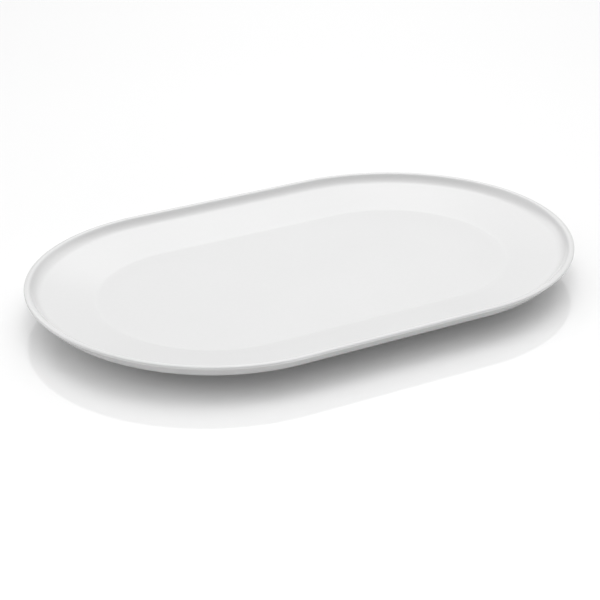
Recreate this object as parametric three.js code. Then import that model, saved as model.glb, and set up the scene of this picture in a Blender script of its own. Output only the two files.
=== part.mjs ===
// Oval porcelain serving plate: one fired body with an integral foot ring, and the two coats of glaze that
// its bare standing face keeps apart. Millimetres, +Z up, with the origin on the plane that the plate stands
// on, under the middle of the well.
import * as THREE from 'three';
import { mergeVertices } from 'three/addons/utils/BufferGeometryUtils.js';

// Outline from above: two straight sides joined by half-round ends
const LENGTH = 360;
const WIDTH = 232.8;

// Heights of the glazed plate, from the table up
const FOOT_HEIGHT = 4.1; // table to the ceiling inside the foot ring
const FLOOR = 4.8; // thickness under the well
const WELL_DEPTH = 10.65; // well to the top of the lip along the sides
const END_RISE = 1.5; // the lip at the tips of the ends above the lip along the sides

// Rim: a flange that rises from the crease round the well, and a lip turned up at its edge
const RIM_WIDTH = 42.6; // outline to the crease, level
const WALL = 5.1; // thickness of the flange
const CREASE_RADIUS = 16;
const LIP_RISE = 4.4; // top of the lip above the bend where the flange turns up
const LIP_INSET = 2.1; // outline to the highest line of the lip, level
const TOP_SLOPE = 15; // top of the lip, degrees down towards the outline
const INNER_SLOPE = 50; // inner side of the lip, degrees from level
const OUTER_SLOPE = 45; // outer side of the lip, degrees from level
const INNER_RADIUS = 3.4; // from the inner side of the lip over to its top
const OUTER_RADIUS = 0.9; // from the top of the lip over to its outer side
const COVE_RADIUS = 9.5; // bend inside the lip
const BELLY_RADIUS = 8; // bend outside the lip

// Foot ring under the edge of the well
const FOOT_SETBACK = 4; // crease to the outer edge of the standing face, level
const FOOT_WIDTH = 4.4; // standing face
const FOOT_DRAFT = 12; // degrees from upright, on both sides
const FOOT_EDGE_RADIUS = 0.8;
const FOOT_ROOT_RADIUS = 2;

// Glaze
const GLAZE = 0.3;
const BARE_BAND = 1.3; // the wiped foot stays bare up to this height

// Fineness of the facets
const END_FACETS = 24; // round each half-round end
const BEND_FACET = 18; // degrees, the most that one facet of a bend turns
const SAME_PLACE = 1e-6; // points of a profile nearer than this are one point

const END_RADIUS = WIDTH / 2;
const END_CENTRE = LENGTH / 2 - END_RADIUS;
const HEIGHT = FOOT_HEIGHT + FLOOR + WELL_DEPTH;

// A section is drawn in a plane square to the outline: x is the reach from the plate's middle line, y is the
// height. Each profile runs outwards along its upper side and back along its lower side, so that the outside
// of the material is on its left.
const point = (reach, height) => new THREE.Vector2(reach, height);
const LEVEL = point(1, 0);
const UP = point(0, 1);

function direction(degrees) {
  const angle = THREE.MathUtils.degToRad(degrees);
  return point(Math.cos(angle), Math.sin(angle));
}

function leftOf(along) {
  return point(-along.y, along.x);
}

function step(from, along, distance) {
  return from.clone().addScaledVector(along, distance);
}

// The point where two lines cross, each given by a point on it and its direction
function crossing(start, along, other, otherAlong) {
  const gap = other.clone().sub(start);
  return step(start, along, gap.cross(otherAlong) / along.cross(otherAlong));
}

// Rounds the corners of an open outline, given as [point, radius]. Two bends that need more than the straight
// stretch between them share it in proportion.
function roundedProfile(corners) {
  const sides = corners.slice(1).map(([end], k) => end.clone().sub(corners[k][0]));
  const bends = corners.map(([, radius], k) => {
    if (!radius) return { turn: 0, reach: 0 };
    const [before, after] = [sides[k - 1], sides[k]];
    const turn = Math.atan2(before.cross(after), before.dot(after));
    return { turn, reach: radius * Math.tan(Math.abs(turn) / 2) };
  });
  const share = sides.map((side, k) => Math.min(1, side.length() / (bends[k].reach + bends[k + 1].reach)));

  const profile = [];
  corners.forEach(([corner], k) => {
    const { turn, reach } = bends[k];
    if (!turn) {
      profile.push(corner.clone());
      return;
    }
    const fitted = reach * Math.min(share[k - 1], share[k]);
    const along = sides[k - 1].clone().normalize();
    const start = step(corner, along, -fitted);
    const radius = fitted / Math.tan(turn / 2);
    const centre = step(start, leftOf(along), radius);
    const facets = Math.ceil(THREE.MathUtils.radToDeg(Math.abs(turn)) / BEND_FACET);
    for (let facet = 0; facet <= facets; facet++) {
      profile.push(start.clone().rotateAround(centre, (turn * facet) / facets));
    }
  });
  return profile.filter((here, k) => k === 0 || here.distanceTo(profile[k - 1]) > SAME_PLACE);
}

// The same profile moved into the material by the same distance everywhere
function insetProfile(profile, distance) {
  const normals = profile.slice(1).map((end, k) => leftOf(end.clone().sub(profile[k]).normalize()));
  return profile.map((here, k) => {
    const before = normals[Math.max(k - 1, 0)];
    const after = normals[Math.min(k, normals.length - 1)];
    return step(here, before.clone().add(after), -distance / (1 + before.dot(after)));
  });
}

// The rim lifts towards the tip of an end: not at all at the crease, and by the full rise at the outline
function lift(reach, angle) {
  const across = Math.max(0, (reach - crease.x) / RIM_WIDTH);
  return END_RISE * across * Math.cos(angle) ** 2;
}

// Carries a profile, which starts and ends on the plate's middle line, round the outline
function sweepRound(profile) {
  const stations = [];
  for (const [centre, start] of [[END_CENTRE, -Math.PI / 2], [-END_CENTRE, Math.PI / 2]]) {
    for (let facet = 0; facet <= END_FACETS; facet++) {
      stations.push({ centre, angle: start + (Math.PI * facet) / END_FACETS });
    }
  }

  const positions = stations.flatMap(({ centre, angle }) => profile.flatMap(({ x: reach, y: height }) => [
    centre + reach * Math.cos(angle), reach * Math.sin(angle), height + lift(reach, angle),
  ]));

  const triangles = [];
  stations.forEach(({ centre }, k) => {
    const next = (k + 1) % stations.length;
    const turning = centre === stations[next].centre;
    for (let j = 0; j + 1 < profile.length; j++) {
      const [near, far] = [profile[j], profile[j + 1]];
      const [a, b] = [k * profile.length + j, next * profile.length + j];
      const [d, c] = [a + 1, b + 1];
      // The diagonal is the same whichever way a profile runs, so a coat and its body share their facets
      const outwards = near.x < far.x || (near.x === far.x && near.y < far.y);
      if (turning && near.x === 0) triangles.push(a, d, c);
      else if (turning && far.x === 0) triangles.push(a, d, b);
      else if (outwards) triangles.push(a, d, c, a, c, b);
      else triangles.push(a, d, b, d, c, b);
    }
  });

  const geometry = new THREE.BufferGeometry();
  geometry.setAttribute('position', new THREE.Float32BufferAttribute(positions, 3));
  geometry.setIndex(triangles);
  return mergeVertices(geometry);
}

// Lip: the two rounds of its edge touch the full height and the outline
const innerAlong = direction(INNER_SLOPE);
const topAlong = direction(-TOP_SLOPE);
const outerAlong = direction(OUTER_SLOPE);
const innerCentre = point(END_RADIUS - LIP_INSET, HEIGHT - INNER_RADIUS);
const innerTouch = step(innerCentre, leftOf(innerAlong), INNER_RADIUS);
const topTouch = step(innerCentre, leftOf(topAlong), INNER_RADIUS);
const underTop = step(topTouch, leftOf(topAlong), -OUTER_RADIUS);
const outerCentre = crossing(underTop, topAlong, point(END_RADIUS - OUTER_RADIUS, 0), UP);
const outerTouch = step(outerCentre, leftOf(outerAlong), -OUTER_RADIUS);
const lipInner = crossing(innerTouch, innerAlong, topTouch, topAlong);
const lipOuter = crossing(outerTouch, outerAlong, topTouch, topAlong);

// Upper face: well, crease, flange and the bend up to the lip
const wellMiddle = point(0, FOOT_HEIGHT + FLOOR);
const crease = point(END_RADIUS - RIM_WIDTH, wellMiddle.y);
const cove = crossing(lipInner, innerAlong, point(0, HEIGHT - LIP_RISE), LEVEL);

// Underside of the rim, parallel to the flange
const flangeAlong = cove.clone().sub(crease).normalize();
const rimUnderside = step(crease, leftOf(flangeAlong), -WALL);
const belly = crossing(rimUnderside, flangeAlong, lipOuter, outerAlong);

// Foot ring: the bare edges of its standing face, and its two sides with their coat of glaze
const footOuter = point(crease.x - FOOT_SETBACK, 0);
const footInner = point(footOuter.x - FOOT_WIDTH, 0);
const outerSideDown = direction(-90 - FOOT_DRAFT);
const innerSideUp = direction(90 + FOOT_DRAFT);
const outerSide = step(footOuter, leftOf(outerSideDown), GLAZE);
const innerSide = step(footInner, leftOf(innerSideUp), GLAZE);
const bareTop = point(0, BARE_BAND);
const recessMiddle = point(0, FOOT_HEIGHT);

const outerSurface = roundedProfile([
  [wellMiddle, 0],
  [crease, CREASE_RADIUS],
  [cove, COVE_RADIUS],
  [lipInner, INNER_RADIUS],
  [lipOuter, OUTER_RADIUS],
  [belly, BELLY_RADIUS],
  [crossing(rimUnderside, flangeAlong, outerSide, outerSideDown), FOOT_ROOT_RADIUS],
  [crossing(outerSide, outerSideDown, bareTop, LEVEL), 0],
]);
const recessSurface = roundedProfile([
  [crossing(innerSide, innerSideUp, bareTop, LEVEL), 0],
  [crossing(innerSide, innerSideUp, recessMiddle, LEVEL), FOOT_ROOT_RADIUS],
  [recessMiddle, 0],
]);
const outerBed = insetProfile(outerSurface, GLAZE);
const recessBed = insetProfile(recessSurface, GLAZE);
const bareFoot = roundedProfile([
  [outerBed.at(-1), 0],
  [footOuter, FOOT_EDGE_RADIUS],
  [footInner, FOOT_EDGE_RADIUS],
  [recessBed[0], 0],
]).slice(1, -1);

const biscuit = new THREE.MeshStandardMaterial({ color: 0xeeebe4, roughness: 0.85, metalness: 0 });
const whiteGlaze = new THREE.MeshStandardMaterial({ color: 0xf4f4f3, roughness: 0.2, metalness: 0 });

const plate = new THREE.Group();

function addPiece(name, profile, material) {
  const piece = new THREE.Mesh(sweepRound(profile), material);
  piece.name = name;
  plate.add(piece);
}

addPiece('porcelain_body', [...outerBed, ...bareFoot, ...recessBed], biscuit);
addPiece('outer_glaze', [...outerSurface, ...outerBed.toReversed()], whiteGlaze);
addPiece('underside_glaze', [...recessBed.toReversed(), ...recessSurface], whiteGlaze.clone());

export default plate;
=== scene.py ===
"""Oval porcelain serving plate on a glossy white table.

The two coats of glaze and the body with its bare foot are swept afresh, finely and smoothly, in place of the
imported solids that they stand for. Metres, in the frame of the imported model.
"""
import math

import bpy
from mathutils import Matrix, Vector


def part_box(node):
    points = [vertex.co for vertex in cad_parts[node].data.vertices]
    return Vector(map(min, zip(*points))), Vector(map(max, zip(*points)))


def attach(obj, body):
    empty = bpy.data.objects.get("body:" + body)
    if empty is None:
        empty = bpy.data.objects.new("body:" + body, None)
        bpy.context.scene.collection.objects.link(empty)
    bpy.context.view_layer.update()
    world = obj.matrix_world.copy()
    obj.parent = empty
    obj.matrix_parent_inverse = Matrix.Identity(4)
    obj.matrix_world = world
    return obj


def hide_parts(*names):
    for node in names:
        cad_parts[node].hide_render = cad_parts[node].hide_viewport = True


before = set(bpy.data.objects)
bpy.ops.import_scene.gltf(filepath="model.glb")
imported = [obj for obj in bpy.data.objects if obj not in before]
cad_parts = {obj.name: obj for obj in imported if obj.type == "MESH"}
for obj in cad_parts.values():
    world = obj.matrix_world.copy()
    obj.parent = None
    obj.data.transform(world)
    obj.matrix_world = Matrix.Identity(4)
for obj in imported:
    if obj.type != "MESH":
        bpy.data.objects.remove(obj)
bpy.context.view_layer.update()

MM = 0.001

# Overall sizes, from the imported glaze
low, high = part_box("outer_glaze")
LENGTH = high[0] - low[0]
WIDTH = high[1] - low[1]
END_RADIUS = WIDTH / 2
END_CENTRE = LENGTH / 2 - END_RADIUS

# Heights of the glazed plate, as in the part's own source
FOOT_HEIGHT = 4.1 * MM  # table to the ceiling inside the foot ring
FLOOR_THICKNESS = 4.8 * MM
WELL_DEPTH = 10.65 * MM  # well to the top of the lip along the sides
HEIGHT = FOOT_HEIGHT + FLOOR_THICKNESS + WELL_DEPTH
END_RISE = 1.5 * MM  # the lip at the tips of the ends above the lip along the sides

# Rim, as in the part's own source but for the one round that is named
RIM_WIDTH = 42.6 * MM
WALL = 5.1 * MM
CREASE_RADIUS = 16 * MM
LIP_RISE = 4.4 * MM
LIP_INSET = 2.1 * MM
TOP_SLOPE = 15  # degrees down towards the outline
INNER_SLOPE = 50  # degrees from level
OUTER_SLOPE = 45  # degrees from level
INNER_RADIUS = 2.5 * MM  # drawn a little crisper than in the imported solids
OUTER_RADIUS = 0.9 * MM
COVE_RADIUS = 9.5 * MM
BELLY_RADIUS = 8 * MM

# Foot ring and glaze, as in the part's own source
FOOT_SETBACK = 4 * MM
FOOT_WIDTH = 4.4 * MM
FOOT_DRAFT = 12  # degrees from upright
FOOT_EDGE_RADIUS = 0.8 * MM
FOOT_ROOT_RADIUS = 2 * MM
GLAZE = 0.3 * MM
BARE_BAND = 1.3 * MM
GLAZE_ROLL = 0.28 * MM  # in the scene alone: the round in which the coat ends beside the bare foot

# Fineness of the skins
BEND_STEP = math.radians(3)  # the most that one facet of a bend turns
STRETCH = 4 * MM  # the longest facet along a section
END_STEPS = 96  # round each half-round end
SIDE_STEPS = 24  # along each straight side
SAME_PLACE = 1e-7  # points nearer than this are one point
SHARP = math.radians(50)  # edges that turn more than this stay sharp

# White glaze
POOL_REACH = 2.5 * MM  # how far glaze creeps along the section into a bend
POOL_TURN = 0.45  # radians of turn within that reach that count as a full pool
GLAZE_THIN = (0.767, 0.767, 0.767, 1)
# The whiter tone in bends is partly pooled glaze and partly painted light, lifting the shade in the coves and
# creases
GLAZE_DEEP_AND_LIT = (0.79, 0.79, 0.79, 1)
CLOUD_SCALE = 16
CLOUD_SHADE = (0.985, 1.0)
MOTTLE_SCALE = 420
MOTTLE_SHADE = (0.99, 1.0)
GLOSS_SCALE = 60
GLAZE_ROUGHNESS = (0.12, 0.18)
GLAZE_IOR = 1.5
RIPPLE_SCALE = 140
RIPPLE_HEIGHT = 0.008 * MM

# Bare porcelain
BISCUIT_DARK = (0.72, 0.70, 0.66, 1)
BISCUIT_LIGHT = (0.84, 0.82, 0.78, 1)
BISCUIT_ROUGHNESS = (0.7, 0.95)
GRAIN_SCALE = 2600
GRINDING_SCALE = 5200
GRINDING_SHARE = 0.45
GRAIN_HEIGHT = 0.03 * MM

# Noise textures
COARSE_DETAIL = 2
FINE_DETAIL = 3
GRAIN_DETAIL = 4
USUAL_NOISE = (0.3, 0.7)  # most of a noise lies between these

# Table
TABLE_HALF = 4.0
TABLE_DROP = 0.05 * MM
TABLE_WHITE = (0.97, 0.97, 0.97, 1)
TABLE_ROUGHNESS = 0.03
TABLE_IOR = 1.6

# Soft light from all round, each lobe as the azimuth and elevation it comes from, its sharpness and strength.
# Azimuths are degrees from the plate's front, which is -Y, round towards +X.
LOBES = {
    "all round": (0, 90, 0, 0.37),
    "overhead": (0, 90, 8, 0.62),
    "back, high": (150, 60, 12, 2.13),
    "back, upper middle": (150, 50, 80, 0.90),
    "back, middle": (150, 35, 16, 0.67),
    "back, on the crease": (147, 34, 200, 0.6),
    "back, low": (150, 12, 24, 0.34),
    "behind the left": (180, 30, 60, 1.32),
    "behind the right": (105, 35, 16, 1.18),
    "left": (240, 35, 16, 0.92),
    "left, low": (240, 12, 24, 1.10),
    "front, by the table": (-30, 3, 120, 5.5),
    "front right, by the table": (20, 3, 120, 9.5),
}
LIGHT_COLOUR = (1, 1, 1, 1)

# Camera, at the photograph's angle
CAMERA_AZIMUTH = -29.41
CAMERA_ELEVATION = 25.51
CAMERA_DISTANCE = 1.1669
CAMERA_TARGET = Vector((-0.01261, -0.01512, 0.00028))
CAMERA_SENSOR = 36
CAMERA_LENS = 112.45

# Sections are drawn square to the outline: x is the reach from the plate's middle line, y is the height.
# Each profile has the outside of the material on its left.
LEVEL = Vector((1, 0))
UP = Vector((0, 1))


def direction(degrees):
    angle = math.radians(degrees)
    return Vector((math.cos(angle), math.sin(angle)))


def left_of(along):
    return Vector((-along.y, along.x))


def cross(a, b):
    return a.x * b.y - a.y * b.x


def crossing(start, along, other, other_along):
    """The point where two lines cross, each given by a point on it and its direction."""
    return start + along * (cross(other - start, other_along) / cross(along, other_along))


def turned(point, centre, angle):
    arm = point - centre
    c, s = math.cos(angle), math.sin(angle)
    return centre + Vector((c * arm.x - s * arm.y, s * arm.x + c * arm.y))


def turn_between(before, after):
    return math.atan2(cross(before, after), before.dot(after))


def rounded_profile(corners):
    """Rounds the corners of an open outline, given as (point, radius).

    Bends that need more than the straight stretch between them share it in proportion.
    """
    sides = [end - start for (start, _), (end, _) in zip(corners, corners[1:])]
    turns, reaches = [], []
    for k, (_, radius) in enumerate(corners):
        turn = turn_between(sides[k - 1], sides[k]) if radius else 0
        turns.append(turn)
        reaches.append(radius * math.tan(abs(turn) / 2))
    share = []
    for k, side in enumerate(sides):
        need = reaches[k] + reaches[k + 1]
        share.append(min(1, side.length / need) if need else 1)

    profile = []
    for k, (corner, _) in enumerate(corners):
        if not turns[k]:
            profile.append(corner.copy())
            continue
        fitted = reaches[k] * min(share[k - 1], share[k])
        along = sides[k - 1].normalized()
        start = corner - along * fitted
        centre = start + left_of(along) * (fitted / math.tan(turns[k] / 2))
        steps = math.ceil(abs(turns[k]) / BEND_STEP)
        profile += [turned(start, centre, turns[k] * step / steps) for step in range(steps + 1)]
    return finely_stepped(profile)


def finely_stepped(profile):
    """The same profile without doubled points, and with its long stretches cut into short ones."""
    fine = [profile[0]]
    for point in profile[1:]:
        start = fine[-1]
        gap = point - start
        if gap.length < SAME_PLACE:
            continue
        parts = math.ceil(gap.length / STRETCH)
        fine += [start + gap * (part / parts) for part in range(1, parts + 1)]
    return fine


def inset_profile(profile, distance):
    """The same profile moved into the material by the same distance everywhere."""
    normals = [left_of((end - start).normalized()) for start, end in zip(profile, profile[1:])]
    moved = []
    for k, here in enumerate(profile):
        before, after = normals[max(k - 1, 0)], normals[min(k, len(normals) - 1)]
        moved.append(here - (before + after) * (distance / (1 + before.dot(after))))
    return moved


def pools(profile):
    """How far the glaze has pooled at each point: up to 1 inside a bend, down to -1 over an edge."""
    place = [0.0]
    for start, end in zip(profile, profile[1:]):
        place.append(place[-1] + (end - start).length)
    bends = []
    for k in range(1, len(profile) - 1):
        bends.append((place[k], turn_between(profile[k] - profile[k - 1], profile[k + 1] - profile[k])))
    depth = []
    for here in place:
        turn = sum(bend * math.exp(-((here - at) / POOL_REACH) ** 2) for at, bend in bends)
        depth.append(max(-1, min(1, turn / POOL_TURN)))
    return depth


def stations():
    """Places round the outline where the section stands, as (middle of the turn, angle)."""
    places = []
    for centre, start in ((END_CENTRE, -math.pi / 2), (-END_CENTRE, math.pi / 2)):
        places += [(centre, start + math.pi * step / END_STEPS) for step in range(END_STEPS)]
        side = start + math.pi
        places += [(centre * (1 - 2 * step / SIDE_STEPS), side) for step in range(SIDE_STEPS)]
    return places


def lift(reach, angle):
    """The rim lifts towards the tip of an end: not at all at the crease, by the full rise at the outline."""
    across = max(0, (reach - crease.x) / RIM_WIDTH)
    return END_RISE * across * math.cos(angle) ** 2


def sweep(name, profile, pooled):
    """A closed skin: the profile, which starts and ends on the middle line, carried round the outline."""
    index, points, reach, pool = {}, [], [], []
    rings = []
    for centre, angle in stations():
        ring = []
        for at, depth in zip(profile, pooled):
            here = (centre + at.x * math.cos(angle), at.x * math.sin(angle), at.y + lift(at.x, angle))
            key = tuple(round(value / SAME_PLACE) for value in here)
            if key not in index:
                index[key] = len(points)
                points.append(here)
                reach.append(at.x)
                pool.append(depth)
            ring.append(index[key])
        rings.append(ring)
    faces = []
    for k, ring in enumerate(rings):
        following = rings[(k + 1) % len(rings)]
        for j in range(len(profile) - 1):
            corners = (ring[j], ring[j + 1], following[j + 1], following[j])
            face = list(dict.fromkeys(corners))
            if len(face) > 2:
                faces.append(face)

    mesh = bpy.data.meshes.new(name)
    mesh.from_pydata(points, [], faces)
    mesh.attributes.new("reach", "FLOAT", "POINT").data.foreach_set("value", reach)
    mesh.attributes.new("pool", "FLOAT", "POINT").data.foreach_set("value", pool)
    mesh.shade_smooth()
    mesh.set_sharp_from_angle(angle=SHARP)
    piece = bpy.data.objects.new(name, mesh)
    bpy.context.scene.collection.objects.link(piece)
    return piece


# Lip: a round on its inner side, a top that falls a little outwards, and a small round on its outer side
top_along = direction(-TOP_SLOPE)
inner_along = direction(INNER_SLOPE)
outer_along = direction(OUTER_SLOPE)
inner_centre = Vector((END_RADIUS - LIP_INSET, HEIGHT - INNER_RADIUS))
inner_touch = inner_centre + left_of(inner_along) * INNER_RADIUS
top_touch = inner_centre + left_of(top_along) * INNER_RADIUS
under_top = top_touch - left_of(top_along) * OUTER_RADIUS
outer_centre = crossing(under_top, top_along, Vector((END_RADIUS - OUTER_RADIUS, 0)), UP)
outer_touch = outer_centre - left_of(outer_along) * OUTER_RADIUS
lip_inner = crossing(inner_touch, inner_along, top_touch, top_along)
lip_outer = crossing(outer_touch, outer_along, top_touch, top_along)

# Upper face, and the underside of the rim parallel to the flange
well_middle = Vector((0, FOOT_HEIGHT + FLOOR_THICKNESS))
crease = Vector((END_RADIUS - RIM_WIDTH, well_middle.y))
cove = crossing(lip_inner, inner_along, Vector((0, HEIGHT - LIP_RISE)), LEVEL)
flange_along = (cove - crease).normalized()
rim_underside = crease - left_of(flange_along) * WALL
belly = crossing(rim_underside, flange_along, lip_outer, outer_along)

# Foot ring: the bare edges of its standing face, and its two sides with their coat of glaze
foot_outer = Vector((crease.x - FOOT_SETBACK, 0))
foot_inner = Vector((foot_outer.x - FOOT_WIDTH, 0))
outer_side_down = direction(-90 - FOOT_DRAFT)
inner_side_up = direction(90 + FOOT_DRAFT)
outer_side = foot_outer + left_of(outer_side_down) * GLAZE
inner_side = foot_inner + left_of(inner_side_up) * GLAZE
bare_top = Vector((0, BARE_BAND))
recess_middle = Vector((0, FOOT_HEIGHT))

# Profiles of the two coats, of the beds that they lie on, and of the bare foot between them
outer_corners = [
    (well_middle, 0),
    (crease, CREASE_RADIUS),
    (cove, COVE_RADIUS),
    (lip_inner, INNER_RADIUS),
    (lip_outer, OUTER_RADIUS),
    (belly, BELLY_RADIUS),
    (crossing(rim_underside, flange_along, outer_side, outer_side_down), FOOT_ROOT_RADIUS),
]
outer_end = crossing(outer_side, outer_side_down, bare_top, LEVEL)
recess_start = crossing(inner_side, inner_side_up, bare_top, LEVEL)
recess_corners = [
    (crossing(inner_side, inner_side_up, recess_middle, LEVEL), FOOT_ROOT_RADIUS),
    (recess_middle, 0),
]
outer_bed = inset_profile(rounded_profile(outer_corners + [(outer_end, 0)]), GLAZE)
recess_bed = inset_profile(rounded_profile([(recess_start, 0)] + recess_corners), GLAZE)
outer_surface = rounded_profile(outer_corners + [(outer_end, GLAZE_ROLL), (outer_bed[-1], 0)])
recess_surface = rounded_profile([(recess_bed[0], 0), (recess_start, GLAZE_ROLL)] + recess_corners)
bare_foot = rounded_profile([
    (outer_bed[-1], 0),
    (foot_outer, FOOT_EDGE_RADIUS),
    (foot_inner, FOOT_EDGE_RADIUS),
    (recess_bed[0], 0),
])


def add(tree, kind, inputs=(), **settings):
    """A new node with its settings, and with each input linked to a socket or set to a value."""
    made = tree.nodes.new(kind)
    for name, value in settings.items():
        setattr(made, name, value)
    for name, value in dict(inputs).items():
        if isinstance(value, bpy.types.NodeSocket):
            tree.links.new(value, made.inputs[name])
        else:
            made.inputs[name].default_value = value
    return made


def material(name):
    made = bpy.data.materials.new(name)
    made.use_nodes = True
    return made, made.node_tree, made.node_tree.nodes["Principled BSDF"]


def ranged(tree, value, to, between=(0, 1)):
    return add(tree, "ShaderNodeMapRange", {
        "Value": value, "From Min": between[0], "From Max": between[1], "To Min": to[0], "To Max": to[1],
    }).outputs["Result"]


def noise(tree, where, scale, detail=COARSE_DETAIL):
    return add(tree, "ShaderNodeTexNoise", {"Vector": where, "Scale": scale, "Detail": detail}).outputs["Fac"]


def attribute(tree, name):
    return add(tree, "ShaderNodeAttribute", attribute_name=name).outputs["Fac"]


def tone_between(tree, factor, first, second):
    mixed = add(tree, "ShaderNodeMix", {"Factor": factor, "A": first, "B": second}, data_type="RGBA")
    return mixed.outputs["Result"]


def bumped(tree, height, distance):
    bump = add(tree, "ShaderNodeBump", {"Height": height, "Strength": 1, "Distance": distance})
    return bump.outputs["Normal"]


def white_glaze():
    """Greyer where it thins over edges, whiter where it pools in bends (partly real pooling, partly painted
    light that lifts the shade in coves and creases), and faintly uneven from the kiln.
    """
    made, tree, shader = material("white_glaze")
    where = add(tree, "ShaderNodeTexCoord").outputs["Object"]
    pool = ranged(tree, attribute(tree, "pool"), (0, 1), (-1, 1))
    # Painted light in part: whiter inside bends, lifting the shade there; greyer over edges where the glaze
    # thins
    tone = tone_between(tree, pool, GLAZE_THIN, GLAZE_DEEP_AND_LIT)
    cloud = ranged(tree, noise(tree, where, CLOUD_SCALE), CLOUD_SHADE, USUAL_NOISE)
    mottle = ranged(tree, noise(tree, where, MOTTLE_SCALE, FINE_DETAIL), MOTTLE_SHADE, USUAL_NOISE)
    for shade in (cloud, mottle):
        shaded = add(tree, "ShaderNodeVectorMath", {"Vector": tone, "Scale": shade}, operation="SCALE")
        tone = shaded.outputs["Vector"]
    gloss = ranged(tree, noise(tree, where, GLOSS_SCALE), GLAZE_ROUGHNESS)
    ripple = bumped(tree, noise(tree, where, RIPPLE_SCALE, FINE_DETAIL), RIPPLE_HEIGHT)
    tree.links.new(tone, shader.inputs["Base Color"])
    tree.links.new(gloss, shader.inputs["Roughness"])
    tree.links.new(ripple, shader.inputs["Normal"])
    shader.inputs["IOR"].default_value = GLAZE_IOR
    return made


def biscuit_porcelain():
    """Bare fired body: a fine dry grain, with the marks that grinding the foot flat left along the ring."""
    made, tree, shader = material("biscuit_porcelain")
    where = add(tree, "ShaderNodeTexCoord").outputs["Object"]
    grain = noise(tree, where, GRAIN_SCALE, GRAIN_DETAIL)
    marks = add(tree, "ShaderNodeTexNoise", {
        "W": attribute(tree, "reach"), "Scale": GRINDING_SCALE, "Detail": COARSE_DETAIL,
    }, noise_dimensions="1D").outputs["Fac"]
    worn = add(tree, "ShaderNodeMix", {"Factor": GRINDING_SHARE, "A": grain, "B": marks}).outputs["Result"]
    tone = tone_between(tree, ranged(tree, worn, (0, 1), USUAL_NOISE), BISCUIT_DARK, BISCUIT_LIGHT)
    dryness = ranged(tree, worn, BISCUIT_ROUGHNESS, USUAL_NOISE)
    tree.links.new(tone, shader.inputs["Base Color"])
    tree.links.new(dryness, shader.inputs["Roughness"])
    tree.links.new(bumped(tree, worn, GRAIN_HEIGHT), shader.inputs["Normal"])
    return made


def dress(name, node, skin, profile, pooled):
    """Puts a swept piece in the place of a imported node."""
    piece = sweep(name, profile, pooled)
    piece.data.materials.append(skin)
    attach(piece, "root")
    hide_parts(node)


# The three pieces
biscuit = biscuit_porcelain()
glaze = white_glaze()

body_profile = outer_bed + bare_foot[1:-1] + recess_bed
no_pools = [0.0] * len(body_profile)
dress("porcelain_foot_and_body", "porcelain_body", biscuit, body_profile, no_pools)

rim_profile = outer_surface + outer_bed[-2::-1]
rim_pools = pools(outer_surface) + pools(outer_bed)[-2::-1]
dress("glaze_over_the_rim", "outer_glaze", glaze, rim_profile, rim_pools)

inside_profile = recess_bed[:0:-1] + recess_surface
inside_pools = pools(recess_bed)[:0:-1] + pools(recess_surface)
dress("glaze_inside_the_foot", "underside_glaze", glaze, inside_profile, inside_pools)


def glossy_table():
    """A glossy white table, wide enough to fill the view."""
    corners = [(x * TABLE_HALF, y * TABLE_HALF, -TABLE_DROP) for x, y in ((-1, -1), (1, -1), (1, 1), (-1, 1))]
    mesh = bpy.data.meshes.new("table")
    mesh.from_pydata(corners, [], [tuple(range(len(corners)))])
    table = bpy.data.objects.new("table", mesh)
    bpy.context.scene.collection.objects.link(table)
    skin, _, shader = material("table")
    shader.inputs["Base Color"].default_value = TABLE_WHITE
    shader.inputs["Roughness"].default_value = TABLE_ROUGHNESS
    shader.inputs["IOR"].default_value = TABLE_IOR
    mesh.materials.append(skin)


def towards(azimuth, elevation):
    """The direction in which a light or the camera stands."""
    a, e = math.radians(azimuth), math.radians(elevation)
    return Vector((math.sin(a) * math.cos(e), -math.cos(a) * math.cos(e), math.sin(e)))


def calculated(tree, operation, first, second):
    return add(tree, "ShaderNodeMath", {0: first, 1: second}, operation=operation).outputs["Value"]


def lit_world():
    """A world whose light is the sum of the lobes, each the cosine from its own direction to a power."""
    world = bpy.data.worlds.new("studio")
    world.use_nodes = True
    tree = world.node_tree
    where = add(tree, "ShaderNodeTexCoord").outputs["Generated"]
    total = 0
    for azimuth, elevation, sharpness, strength in LOBES.values():
        axis = towards(azimuth, elevation)
        along = add(tree, "ShaderNodeVectorMath", {0: where, 1: axis}, operation="DOT_PRODUCT")
        facing = calculated(tree, "MAXIMUM", along.outputs["Value"], 0)
        lobe = calculated(tree, "POWER", facing, sharpness)
        total = calculated(tree, "ADD", total, calculated(tree, "MULTIPLY", lobe, strength))
    background = tree.nodes["Background"]
    tree.links.new(total, background.inputs["Strength"])
    background.inputs["Color"].default_value = LIGHT_COLOUR
    bpy.context.scene.world = world


def placed_camera():
    back = towards(CAMERA_AZIMUTH, CAMERA_ELEVATION)
    camera_data = bpy.data.cameras.new("camera")
    camera_data.sensor_width = CAMERA_SENSOR
    camera_data.lens = CAMERA_LENS
    camera = bpy.data.objects.new("camera", camera_data)
    camera.location = CAMERA_TARGET + back * CAMERA_DISTANCE
    camera.rotation_euler = (-back).to_track_quat("-Z", "Y").to_euler()
    bpy.context.scene.collection.objects.link(camera)
    bpy.context.scene.camera = camera


glossy_table()
lit_world()
placed_camera()
bpy.context.scene.view_settings.view_transform = "Standard"
